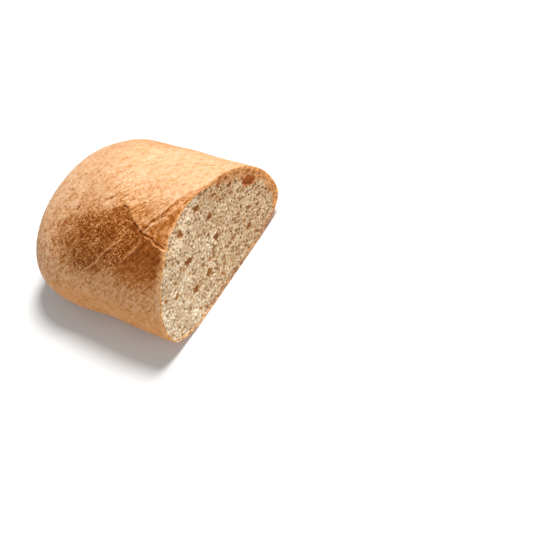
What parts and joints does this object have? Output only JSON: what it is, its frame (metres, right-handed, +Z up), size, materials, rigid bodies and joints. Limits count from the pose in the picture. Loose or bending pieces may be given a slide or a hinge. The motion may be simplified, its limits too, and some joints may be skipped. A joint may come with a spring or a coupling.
{
  "type": "half sourdough loaf",
  "caption": "Half of an oblong sourdough loaf, rounded at the heel and cut square across, with a browned, folded crust over a pale open crumb.",
  "frame": {"origin": "middle of the bounding box, on the flat base that the loaf rests on", "axes": "+X along the loaf from the round heel to the cut face, +Y across it, +Z up"},
  "size_m": [0.135, 0.131, 0.0777],
  "materials": {
    "crust": "satin",
    "crumb": "matte"
  },
  "bodies": {
    "root": {"half_loaf": "crust"}
  },
  "joints": []
}
